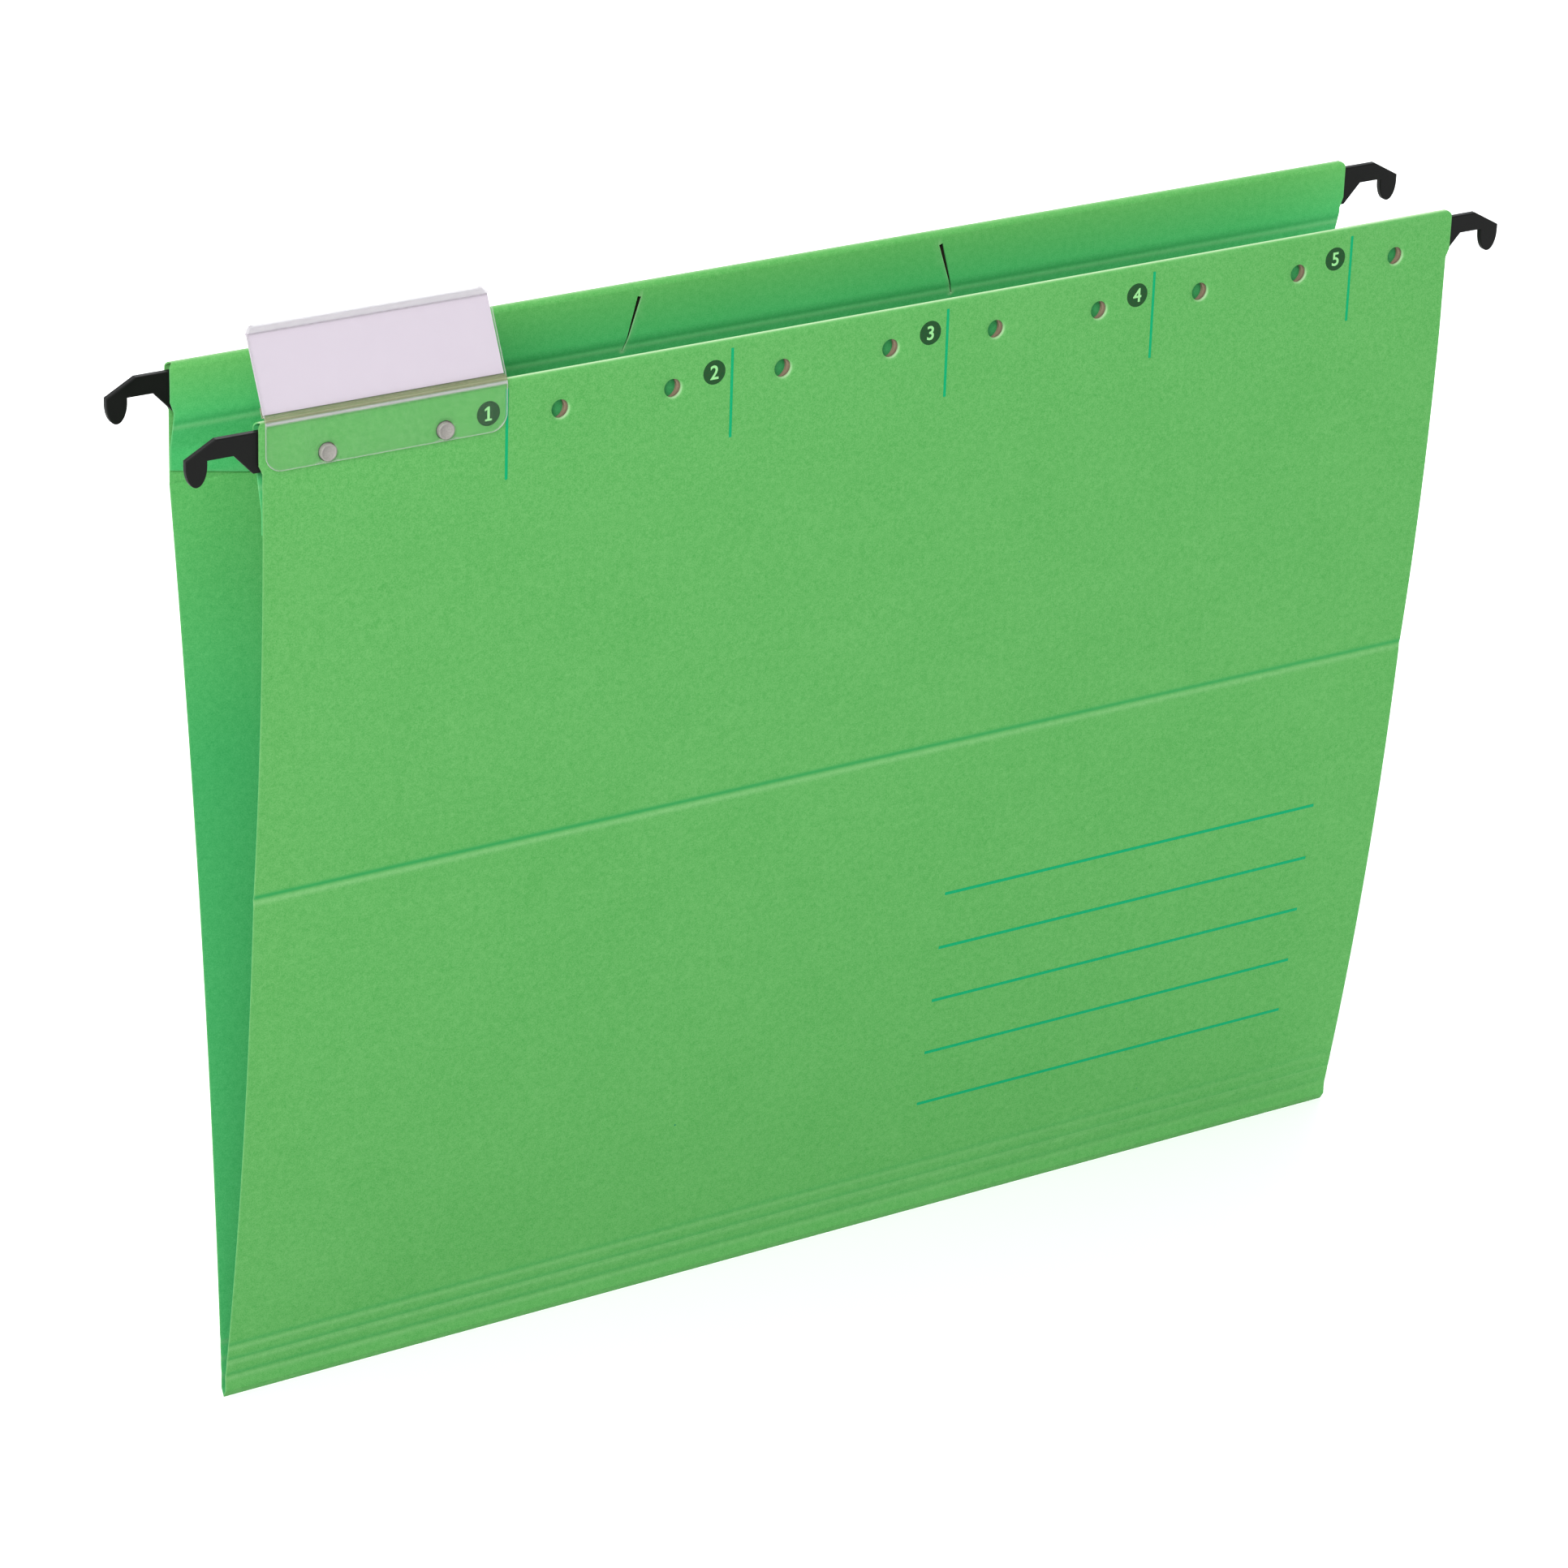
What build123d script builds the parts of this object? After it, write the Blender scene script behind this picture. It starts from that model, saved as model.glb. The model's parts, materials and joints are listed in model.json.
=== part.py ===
from build123d import *
import os
from math import cos, radians, sin

# A hanging file folder: a V-shaped pocket of green board that hangs from two file rails by four hooks.
# Millimetres. X runs along the hems, Y from the front cover to the back cover, Z is up.
# The origin is under the middle of the folder, on the lowest line of its bottom fold.

# Board
board_width = 317.0
board_t = 0.35
folder_height = 247.5

# Bottom fold, a rounded U that ends at the first score line
fold_width = 2.35
fold_height = 5.2

# Covers as they stand open, to their outer faces
rail_gap = 44.8
crease_height = 134.0
crease_out = 17.0
front_lower_bow = 2.0
front_upper_bow = 1.0
back_bow = 3.0
# The board is free for this radius round the axis of a crease
crease_gap = 0.4

# Hems: the board turned over a hanger strip and glued down inside
hem_step = 0.9
hem_pocket = 2.2
hem_depth = 29.0
hem_corner_r = 1.3
hem_end_depth = 9.5
hem_end_slant = 2.0
pocket_depth = 21.0
pocket_taper = 8.5
flap_corner_run = 19.0
flap_corner_rise = 3.5
glue_t = 0.15
glue_inset = 4.0
glue_top_gap = 0.5

# Slanting slits in the flap of the back hem, narrower towards the foot
slit_spread = 86.0
slit_length = 13.5
slit_top_width = 1.1
slit_foot_width = 0.3
slit_tilt = 17.0
slit_drop = 9.6

# Row of punched holes for the index tab
tab_hole_r = 2.15
tab_hole_margin = 15.4
tab_hole_count = 11
tab_hole_drop = 8.9

# Hanger strips, which float endways in the hems, and where they lie in them
strip_t = 0.8
strip_height = 11.6
strip_top_clear = 0.4
hanger_float = 1.1
float_clear = 0.2
front_hanger_shift = -0.95
back_hanger_shift = 0.9

# Hooks moulded on the tongues of the strips, measured outwards from the end of the hem
hook_root = 10.0
hook_reach = 15.9
hook_side_clear = 0.3
hook_edge_r = 0.3
arm_drop = 1.9
arm_height = 4.5
arm_top_length = 8.8
throat_start = 4.6
throat_width = 6.2
nose_drop = 3.9
nose_shoulder = 5.4
nose_depth = 10.2
gusset_depth = 9.3
tongue_length = 9.5
tongue_height = 6.0
anchor_r = 1.0
anchor_spacing = 3.6

# Index tab of clear plastic and its label
tab_width = 58.7
tab_t = 0.6
tab_gap = 0.2
skirt_depth = 11.0
skirt_corner_r = 4.0
peg_clear = 0.2
peg_tip_r = 1.2
peg_recess_r = 1.55
peg_recess_depth = 0.15
tab_hinge_drop = 0.2
film_gap = 0.45
window_lean = 26.0
window_height = 21.6
window_corner_r = 2.5
window_bend_r = 0.9
lip_gap = 0.8
lip_t = 0.5
foot_height = 1.5
foot_t = 0.4
foot_lip = 2.0
top_lip = 4.5
label_t = 0.2
label_width = 58.3
label_edge_clear = 0.2
label_top_gap = 1.15

# Sizes that follow from those above
half_gap = rail_gap / 2
hem_width = board_width + 2 * hem_step
hem_r = hem_pocket / 2 + board_t
hem_fold_z = folder_height - hem_r
flap_edge_z = folder_height - hem_depth
pocket_z = folder_height - pocket_depth
hem_end_z = folder_height - hem_end_depth
strip_inset = board_t + hem_pocket / 2
strip_top_z = folder_height - board_t - strip_top_clear
strip_end = hem_width / 2 - hook_root
strip_hole_r = peg_tip_r + hanger_float + float_clear
tab_hole_z = folder_height - tab_hole_drop
tab_hole_row = board_width - 2 * tab_hole_margin
tab_hole_pitch = tab_hole_row / (tab_hole_count - 1)
tab_x = (tab_hole_pitch - tab_hole_row) / 2
hook_t = hem_pocket - 2 * hook_side_clear
arm_top_z = folder_height - arm_drop
tongue_z = arm_top_z - gusset_depth / 2
throat_end = throat_start + throat_width
nose_r = (hook_reach - throat_end) / 2
peg_r = tab_hole_r - peg_clear
skirt_y = -half_gap - tab_gap - tab_t / 2
tab_hinge_z = folder_height - tab_hinge_drop
foot_top = foot_height + foot_t
through = 2 * rail_gap

os.makedirs("parts", exist_ok=True)


def write_part(piece, name):
    """Label a finished piece and write it to its own file."""
    piece.part.label = name
    export_step(piece.part, f"parts/{name}.step")


def hem_outline(bottom_z, corner_run=0.0, corner_rise=0.0):
    """Front view of a piece that runs up into a hem: slanting hem ends, cut lower corners if given."""
    half = board_width / 2
    side = [
        (half, bottom_z + corner_rise),
        (half, hem_end_z - hem_end_slant),
        (hem_width / 2, hem_end_z),
        (hem_width / 2, folder_height),
    ]
    foot = [(half - corner_run, bottom_z)] if corner_run else []
    right = foot + side
    left = [(-x, z) for x, z in reversed(right)]
    with BuildSketch(Plane.XZ) as outline:
        with BuildLine():
            Polyline(right + left, close=True)
        make_face()
        fillet(outline.vertices().group_by(Axis.Y)[-1], radius=hem_corner_r)
    return outline.sketch


def tab_holes(radius, shift=0.0):
    """Row of holes for the index tab, seen from the front, moved along with a strip if given."""
    with BuildSketch(Plane.XZ) as row:
        with Locations((shift, tab_hole_z)):
            with GridLocations(tab_hole_pitch, 0, tab_hole_count, 1):
                Circle(radius)
    return row.sketch


def axis_room(y, z, radius):
    """Round space along X that is left free at the axis of a crease or film hinge."""
    with BuildSketch(Plane.YZ) as room:
        with Locations((y, z)):
            Circle(radius)
    return room.sketch


# Axes of the creases, in the middle of the board
fold_axis_y = (fold_width - board_t) / 2
fold_rooms = [axis_room(side * fold_axis_y, fold_height, crease_gap) for side in (-1, 1)]
crease_room = axis_room(-crease_out + board_t / 2, crease_height, crease_gap)
tab_hinge_room = axis_room(skirt_y, tab_hinge_z, film_gap)

# Bottom fold
with BuildPart() as bottom_fold:
    with BuildSketch(Plane.YZ):
        with BuildLine():
            Line((-fold_width / 2, fold_height), (-fold_width / 2, fold_width / 2))
            ThreePointArc((-fold_width / 2, fold_width / 2), (0, 0), (fold_width / 2, fold_width / 2))
            Line((fold_width / 2, fold_width / 2), (fold_width / 2, fold_height))
            offset(amount=board_t, side=Side.LEFT)
        make_face()
    extrude(amount=board_width / 2, both=True)
    for fold_room in fold_rooms:
        extrude(fold_room, amount=board_width, both=True, mode=Mode.SUBTRACT)
write_part(bottom_fold, "bottom_fold")

# Front cover below the crease
with BuildPart() as front_cover_lower:
    with BuildSketch(Plane.YZ):
        with BuildLine():
            SagittaArc((-fold_width / 2, fold_height), (-crease_out, crease_height), front_lower_bow)
            offset(amount=board_t, side=Side.RIGHT)
        make_face()
    extrude(amount=board_width / 2, both=True)
    for crease in (fold_rooms[0], crease_room):
        extrude(crease, amount=board_width, both=True, mode=Mode.SUBTRACT)
write_part(front_cover_lower, "front_cover_lower")

# Front cover above the crease, punched for the tab
with BuildPart() as front_cover_upper:
    with BuildSketch(Plane.YZ):
        with BuildLine():
            SagittaArc((-crease_out, crease_height), (-half_gap, flap_edge_z), front_upper_bow)
            Line((-half_gap, flap_edge_z), (-half_gap, hem_fold_z))
            offset(amount=board_t, side=Side.RIGHT)
        make_face()
    extrude(amount=hem_width / 2, both=True)
    extrude(hem_outline(0), amount=through, both=True, mode=Mode.INTERSECT)
    extrude(crease_room, amount=board_width, both=True, mode=Mode.SUBTRACT)
    extrude(tab_holes(tab_hole_r), amount=through, both=True, mode=Mode.SUBTRACT)
write_part(front_cover_upper, "front_cover_upper")

# Back cover
with BuildPart() as back_cover:
    with BuildSketch(Plane.YZ):
        with BuildLine():
            SagittaArc((fold_width / 2, fold_height), (half_gap, flap_edge_z), back_bow)
            Line((half_gap, flap_edge_z), (half_gap, hem_fold_z))
            offset(amount=board_t, side=Side.LEFT)
        make_face()
    extrude(amount=hem_width / 2, both=True)
    extrude(hem_outline(0), amount=through, both=True, mode=Mode.INTERSECT)
    extrude(fold_rooms[1], amount=board_width, both=True, mode=Mode.SUBTRACT)
write_part(back_cover, "back_cover")


def make_hem_flap(side):
    """Board from the top of a cover, over the hanger strip and down inside to its cut edge."""
    inner = side * (half_gap - 2 * hem_r)
    glued = side * (half_gap - 2 * board_t - glue_t)
    with BuildPart() as flap:
        with BuildSketch(Plane.YZ):
            with BuildLine():
                ThreePointArc(
                    (side * half_gap, hem_fold_z), (side * (half_gap - hem_r), folder_height), (inner, hem_fold_z)
                )
                Polyline(
                    (inner, hem_fold_z), (inner, pocket_z + pocket_taper), (glued, pocket_z), (glued, flap_edge_z)
                )
                offset(amount=board_t, side=Side.LEFT if side > 0 else Side.RIGHT)
            make_face()
        extrude(amount=hem_width / 2, both=True)
        extrude(
            hem_outline(flap_edge_z, flap_corner_run, flap_corner_rise),
            amount=through,
            both=True,
            mode=Mode.INTERSECT,
        )
    return flap


def make_hem_glue(side):
    """Film of glue between a cover and the flap of its hem."""
    glue_y = side * (half_gap - board_t - glue_t / 2)
    glue_top_z = pocket_z - glue_top_gap
    glue_bottom_z = flap_edge_z + glue_inset
    with BuildPart() as glue:
        with Locations((0, glue_y, (glue_top_z + glue_bottom_z) / 2)):
            Box(board_width - 2 * glue_inset, glue_t, glue_top_z - glue_bottom_z)
    return glue


# Front hem
front_hem_flap = make_hem_flap(-1)
write_part(front_hem_flap, "front_hem_flap")
write_part(make_hem_glue(-1), "front_hem_glue")

# Back hem, with its pair of slits
back_flap_blank = make_hem_flap(1)
with BuildPart() as back_hem_flap:
    add(back_flap_blank.part)
    with BuildSketch(Plane.XZ.offset(board_t + glue_t / 2 - half_gap)):
        for side in (-1, 1):
            with Locations(Location((side * slit_spread / 2, folder_height - slit_drop), side * slit_tilt)):
                Polygon(
                    (slit_foot_width / 2, -slit_length / 2),
                    (slit_top_width / 2, slit_length / 2),
                    (-slit_top_width / 2, slit_length / 2),
                    (-slit_foot_width / 2, -slit_length / 2),
                    align=None,
                )
    extrude(amount=2 * hem_r, mode=Mode.SUBTRACT)
write_part(back_hem_flap, "back_hem_flap")
write_part(make_hem_glue(1), "back_hem_glue")


def make_hanger_strip(side, shift):
    """Steel strip with the same row of holes as the cover and a tongue at each end for a hook."""
    with BuildPart() as strip:
        with BuildSketch(Plane.XZ.offset(-side * (half_gap - strip_inset))):
            with Locations((shift, strip_top_z - strip_height / 2)):
                Rectangle(2 * strip_end, strip_height)
            with Locations((shift, tongue_z)):
                Rectangle(2 * (strip_end + tongue_length), tongue_height)
            for end in (-1, 1):
                with Locations((shift + end * (strip_end + tongue_length / 2), tongue_z)):
                    with GridLocations(anchor_spacing, 0, 2, 1):
                        Circle(anchor_r, mode=Mode.SUBTRACT)
        extrude(amount=strip_t / 2, both=True)
        extrude(tab_holes(strip_hole_r, shift), amount=through, both=True, mode=Mode.SUBTRACT)
    return strip


def make_hook(side, end, shift, strip):
    """Hook moulded round the tongue of a strip: arm, sloping nose, throat for the rail and a gusset."""
    start = shift + end * hem_width / 2

    def at(out, down):
        return (start + end * out, arm_top_z - down)

    with BuildPart() as hook:
        with BuildSketch(Plane.XZ.offset(-side * (half_gap - strip_inset))):
            with BuildLine():
                Polyline(
                    at(throat_end, nose_shoulder),
                    at(throat_end, arm_height),
                    at(throat_start, arm_height),
                    at(0, gusset_depth),
                    at(-hook_root, gusset_depth),
                    at(-hook_root, 0),
                    at(arm_top_length, 0),
                    at(hook_reach, nose_drop),
                    at(hook_reach, nose_shoulder),
                )
                EllipticalCenterArc(
                    at(throat_end + nose_r, nose_shoulder),
                    nose_r,
                    nose_depth - nose_shoulder,
                    start_angle=180,
                    arc_size=180,
                )
            make_face()
        extrude(amount=hook_t / 2, both=True)
        fillet(hook.faces().filter_by(Axis.Y).edges(), radius=hook_edge_r)
        add(strip.part, mode=Mode.SUBTRACT)
    return hook


# Hanger strips and their hooks
hangers = {"front": (-1, front_hanger_shift), "back": (1, back_hanger_shift)}
for cover_name, (side, shift) in hangers.items():
    hanger_strip = make_hanger_strip(side, shift)
    write_part(hanger_strip, f"{cover_name}_hanger_strip")
    for end_name, end in (("left", -1), ("right", 1)):
        write_part(make_hook(side, end, shift, hanger_strip), f"{cover_name}_{end_name}_hook")


def peg_circles(radius, forward=0.0):
    """Circles at the two pegs of the tab, in the middle of the skirt or forward of it."""
    with BuildSketch(Plane.XZ.offset(forward - skirt_y)) as pair:
        with Locations((tab_x, tab_hole_z)):
            with GridLocations(tab_hole_pitch, 0, 2, 1):
                Circle(radius)
    return pair.sketch


# Skirt of the tab, with two stepped pegs that go through the punched holes
peg_length = tab_t / 2 + tab_gap + board_t
tip_length = peg_length + hem_pocket - hook_side_clear
with BuildPart() as tab_skirt:
    with BuildSketch(Plane.XZ.offset(-skirt_y)) as skirt_front:
        with Locations((tab_x, tab_hinge_z - skirt_depth / 2)):
            Rectangle(tab_width, skirt_depth)
        fillet(skirt_front.vertices().group_by(Axis.Y)[0], radius=skirt_corner_r)
    extrude(amount=tab_t / 2, both=True)
    extrude(peg_circles(peg_r), amount=-peg_length)
    extrude(peg_circles(peg_tip_r), amount=-tip_length)
    extrude(peg_circles(peg_recess_r, tab_t / 2), amount=-peg_recess_depth, mode=Mode.SUBTRACT)
    extrude(tab_hinge_room, amount=board_width, both=True, mode=Mode.SUBTRACT)
write_part(tab_skirt, "tab_skirt")

# Planes of the leaning window: its section, and its face seen from behind the folder
lean_back = (0, cos(radians(window_lean)), -sin(radians(window_lean)))
hinge_point = (tab_x, skirt_y, tab_hinge_z)
window_section = Plane(origin=hinge_point, x_dir=lean_back, z_dir=(1, 0, 0))
window_face = Plane(origin=hinge_point, x_dir=(-1, 0, 0), z_dir=lean_back)
lip_back = tab_t / 2 + lip_gap + lip_t

# Window of the tab: a clear plate with a foot and a turned-over top that hold the label behind it
with BuildPart() as tab_window:
    with BuildSketch(window_section) as window_profile:
        with Locations((0, window_height / 2)):
            Rectangle(tab_t, window_height)
        for web_bottom, web_t in ((foot_height, foot_t), (window_height - tab_t, tab_t)):
            with Locations((0, web_bottom)):
                Rectangle(lip_back, web_t, align=(Align.MIN, Align.MIN))
        with Locations((lip_back, foot_height)):
            Rectangle(lip_t, foot_t + foot_lip, align=(Align.MAX, Align.MIN))
        with Locations((lip_back, window_height)):
            Rectangle(lip_t, top_lip, align=(Align.MAX, Align.MAX))
        fillet(window_profile.vertices().group_by(Axis.Y)[-1], radius=window_bend_r)
    extrude(amount=tab_width / 2, both=True)
    with BuildSketch(window_face) as window_outline:
        with Locations((0, window_height / 2)):
            Rectangle(tab_width, window_height)
        fillet(window_outline.vertices().group_by(Axis.Y)[-1], radius=window_corner_r)
    extrude(amount=through, both=True, mode=Mode.INTERSECT)
    extrude(tab_hinge_room, amount=board_width, both=True, mode=Mode.SUBTRACT)
write_part(tab_window, "tab_window")

# Paper label, in the middle of the gap behind the window
label_height = window_height - tab_t - label_top_gap - foot_top - label_edge_clear
with BuildPart() as label_card:
    with BuildSketch(window_section):
        with Locations((tab_t / 2 + lip_gap / 2, foot_top + label_edge_clear)):
            Rectangle(label_t, label_height, align=(Align.CENTER, Align.MIN))
    extrude(amount=label_width / 2, both=True)
write_part(label_card, "label_card")
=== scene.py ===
import json
from collections import namedtuple
from math import cos, pi, radians, sin, sqrt

import bpy
import numpy as np
from mathutils import Matrix, Vector
from mathutils.geometry import delaunay_2d_cdt


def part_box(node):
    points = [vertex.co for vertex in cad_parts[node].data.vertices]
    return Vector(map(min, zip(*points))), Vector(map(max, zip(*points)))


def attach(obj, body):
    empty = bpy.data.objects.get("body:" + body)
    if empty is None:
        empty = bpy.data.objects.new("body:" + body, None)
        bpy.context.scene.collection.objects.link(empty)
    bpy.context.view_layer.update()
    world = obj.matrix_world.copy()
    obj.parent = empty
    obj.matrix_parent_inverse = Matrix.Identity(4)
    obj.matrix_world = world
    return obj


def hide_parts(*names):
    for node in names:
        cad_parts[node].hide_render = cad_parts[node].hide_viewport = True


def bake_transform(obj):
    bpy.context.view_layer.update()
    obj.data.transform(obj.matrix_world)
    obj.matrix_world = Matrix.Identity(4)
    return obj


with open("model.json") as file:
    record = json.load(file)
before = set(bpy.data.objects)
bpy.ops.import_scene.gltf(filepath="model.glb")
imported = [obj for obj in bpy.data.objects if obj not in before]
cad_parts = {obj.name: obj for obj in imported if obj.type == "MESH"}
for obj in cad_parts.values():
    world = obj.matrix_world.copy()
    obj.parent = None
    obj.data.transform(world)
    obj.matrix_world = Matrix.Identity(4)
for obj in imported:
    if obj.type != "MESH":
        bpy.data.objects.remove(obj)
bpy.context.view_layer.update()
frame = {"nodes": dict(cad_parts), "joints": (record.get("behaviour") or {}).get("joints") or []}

joint_at = {joint["name"]: Vector(joint["pos_m"]) for joint in frame["joints"] if "pos_m" in joint}

# Section of the covers
# One sheet of board, about a third of a millimetre thick, bent round at the bottom and over at the hems.
# Its section is the line of its outer face: how far out from the middle plane and how high, by the
# length along it.
board_thickness = 0.00035
bend_ease = 0.0005
section_step = 0.00005
panel_points = 80
bend_points = 40
front_lower_bow = 0.002
front_upper_bow = 0.001
back_bow = -0.003
pocket_depth = 0.021
pocket_taper = 0.0085
taper_slope = 0.6
glue_thickness = 0.00015

fold_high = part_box("bottom_fold")[1]
flap_low, flap_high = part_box("front_hem_flap")
fold_radius = fold_high.y
fold_top = joint_at["front_cover_swing"].z
crease_height = joint_at["front_upper_fold"].z
crease_out = board_thickness / 2 - joint_at["front_upper_fold"].y
hem_out = -flap_low.y
hem_in = -flap_high.y
hem_radius = (hem_out - hem_in) / 2
hem_top = flap_high.z
flap_edge = flap_low.z
pocket_floor = hem_top - pocket_depth
glued_out = hem_out - 2 * board_thickness - glue_thickness


class BentSheet:
    """Section of a sheet that is bent along X, with its sharp corners eased."""

    def __init__(self, points, ease):
        points = np.vstack(points)
        length = np.r_[0, np.cumsum(np.hypot(*np.diff(points, axis=0).T))]
        self.along = np.arange(0, length[-1], section_step)
        reach = int(ease / section_step)
        weights = np.ones(2 * reach + 1) / (2 * reach + 1)
        eased = []
        for axis in (0, 1):
            line = np.interp(self.along, length, points[:, axis])
            line = np.pad(line, reach, mode="reflect", reflect_type="odd")
            eased.append(np.convolve(line, weights, mode="valid"))
        self.out, self.up = eased
        slope = np.hypot(np.gradient(self.out), np.gradient(self.up))
        self.face_out = np.gradient(self.up) / slope
        self.face_up = -np.gradient(self.out) / slope
        self.top = self.along[np.argmax(self.up)]
        self.end = self.along[-1]

    def height(self, v):
        """Height of the outer face at the length v."""
        return np.interp(v, self.along, self.up)

    def rising(self, height):
        """Length along the sheet to a height on its way up."""
        way_up = self.along <= self.top
        return np.interp(height, self.up[way_up], self.along[way_up])

    def falling(self, height):
        """Length along the sheet to a height on its way down inside."""
        way_down = self.along >= self.top
        return np.interp(height, self.up[way_down][::-1], self.along[way_down][::-1])

    def place(self, u, v, lift, side):
        """Points in space at u, v on the sheet, lifted off its outer face; side is -1 in front, 1 behind."""
        out, up, face_out, face_up = (
            np.interp(v, self.along, line) for line in (self.out, self.up, self.face_out, self.face_up)
        )
        return np.stack([u + 0 * out, side * (out + lift * face_out), up + lift * face_up], axis=-1)


def shallow_arc(start, end, bow):
    """Points of a panel's section from start to end, bowed outwards by the given height."""
    start, end = np.array(start), np.array(end)
    chord = end - start
    outwards = np.array([chord[1], -chord[0]]) / np.hypot(*chord)
    share = np.linspace(0, 1, panel_points)[:, None]
    return start + share * chord + 4 * bow * share * (1 - share) * outwards


def round_arc(centre, radius, first, last):
    """Points of a bend round a centre, from one angle to another in degrees."""
    turn = np.radians(np.linspace(first, last, bend_points))
    return np.array(centre) + radius * np.stack([np.cos(turn), np.sin(turn)], axis=-1)


def soft_step(start, end):
    """Points of a soft double bend from one height down to another, part straight slope and part curve."""
    share = np.linspace(0, 1, bend_points)[:, None]
    eased = taper_slope * share + (1 - taper_slope) * share * share * (3 - 2 * share)
    return np.hstack([start[0] + eased * (end[0] - start[0]), start[1] + share * (end[1] - start[1])])


bottom_bend = round_arc((0, fold_radius), fold_radius, -90, 0)
hem_line = [
    round_arc((hem_out - hem_radius, hem_top - hem_radius), hem_radius, 0, 180),
    soft_step((hem_in, pocket_floor + pocket_taper), (glued_out, pocket_floor)),
    [(glued_out, flap_edge)],
]
fold_end = (fold_radius, fold_top)
crease = (crease_out, crease_height)
hem_start = (hem_out, flap_edge)
front_section = BentSheet(
    [
        bottom_bend,
        shallow_arc(fold_end, crease, front_lower_bow),
        shallow_arc(crease, hem_start, front_upper_bow)[1:],
        *hem_line,
    ],
    bend_ease,
)
back_section = BentSheet([bottom_bend, shallow_arc(fold_end, hem_start, back_bow), *hem_line], bend_ease)

# Green board
# Through-dyed recycled board: green pulp with paler and darker fibres, faint clouding and a few dark
# specks. It is calendered but not coated, so its face is dull, and a cut edge looks like the face.
# The flaps and the inside of the pocket are painted a little brighter than the outside as painted light, and
# bluer further down as painted shade.
board_deep = (0.030, 0.203, 0.034)
board_pale = (0.121, 0.324, 0.102)
board_speck = (0.017, 0.155, 0.069)
# One pale colour serves for scuffed cut edges and for painted highlights
board_worn_and_highlit = (0.350, 0.490, 0.290)
board_pressed_and_shaded = (0.022, 0.225, 0.057)
lit_upper_inside_deep = (0.041, 0.252, 0.043)
lit_upper_inside_pale = (0.150, 0.394, 0.122)
lit_bluer_inside_deep = (0.018, 0.235, 0.058)
lit_bluer_inside_pale = (0.070, 0.352, 0.120)
lit_upper_flap_deep = (0.046, 0.266, 0.045)
lit_upper_flap_pale = (0.158, 0.414, 0.128)
lit_bluer_flap_deep = (0.022, 0.272, 0.067)
lit_bluer_flap_pale = (0.079, 0.400, 0.137)
fibre_size = 0.0003
fibre_relief = 0.00003
mottle_size = 0.0014
mottle_share = 0.35
cloud_size = 0.025
cloud_share = 0.12
tint_range = (0.36, 1.11)
speck_spacing = 0.024
speck_size = 0.0002
speck_blur = 1.6


def new_material(name):
    """Node material with a Principled shader; returns the material, its node tree and the shader."""
    material = bpy.data.materials.new(name)
    material.use_nodes = True
    tree = material.node_tree
    return material, tree, tree.nodes["Principled BSDF"]


def object_place(tree):
    """Coordinates in metres, fixed to the piece."""
    return tree.nodes.new("ShaderNodeTexCoord").outputs["Object"]


def mark(tree, name):
    """Value that a piece's mesh carries at each point under the given name."""
    node = tree.nodes.new("ShaderNodeAttribute")
    node.attribute_name = name
    return node.outputs["Fac"]


def noise(tree, place, size, detail=2.0, roughness=0.5):
    """Noise with features of the given size in metres, at the given coordinates."""
    node = tree.nodes.new("ShaderNodeTexNoise")
    node.inputs["Scale"].default_value = 1 / size
    node.inputs["Detail"].default_value = detail
    node.inputs["Roughness"].default_value = roughness
    tree.links.new(place, node.inputs["Vector"])
    return node.outputs["Fac"]


def spread(tree, value, low, high):
    """Stretches a value so that low becomes 0 and high becomes 1."""
    node = tree.nodes.new("ShaderNodeMapRange")
    node.inputs["From Min"].default_value = low
    node.inputs["From Max"].default_value = high
    tree.links.new(value, node.inputs["Value"])
    return node.outputs["Result"]


def sum_of(tree, first, second, second_share):
    """First value plus a share of the second."""
    node = tree.nodes.new("ShaderNodeMath")
    node.operation = "MULTIPLY_ADD"
    node.inputs[1].default_value = second_share
    tree.links.new(second, node.inputs[0])
    tree.links.new(first, node.inputs[2])
    return node.outputs["Value"]


def mixed(tree, share, first, second):
    """Colour between two others; each is a colour or a socket."""
    node = tree.nodes.new("ShaderNodeMix")
    node.data_type = "RGBA"
    tree.links.new(share, node.inputs["Factor"])
    for socket, colour in ((node.inputs[6], first), (node.inputs[7], second)):
        if isinstance(colour, tuple):
            socket.default_value = (*colour, 1)
        else:
            tree.links.new(colour, socket)
    return node.outputs[2]


def colour_between(tree, shader, share, first, second):
    """Gives a shader a colour between two others."""
    tree.links.new(mixed(tree, share, first, second), shader.inputs["Base Color"])


def grain_bump(tree, shader, value, depth, strength):
    """Fine relief of a surface from a noise value."""
    node = tree.nodes.new("ShaderNodeBump")
    node.inputs["Distance"].default_value = depth
    node.inputs["Strength"].default_value = strength
    tree.links.new(value, node.inputs["Height"])
    tree.links.new(node.outputs["Normal"], shader.inputs["Normal"])


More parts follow.
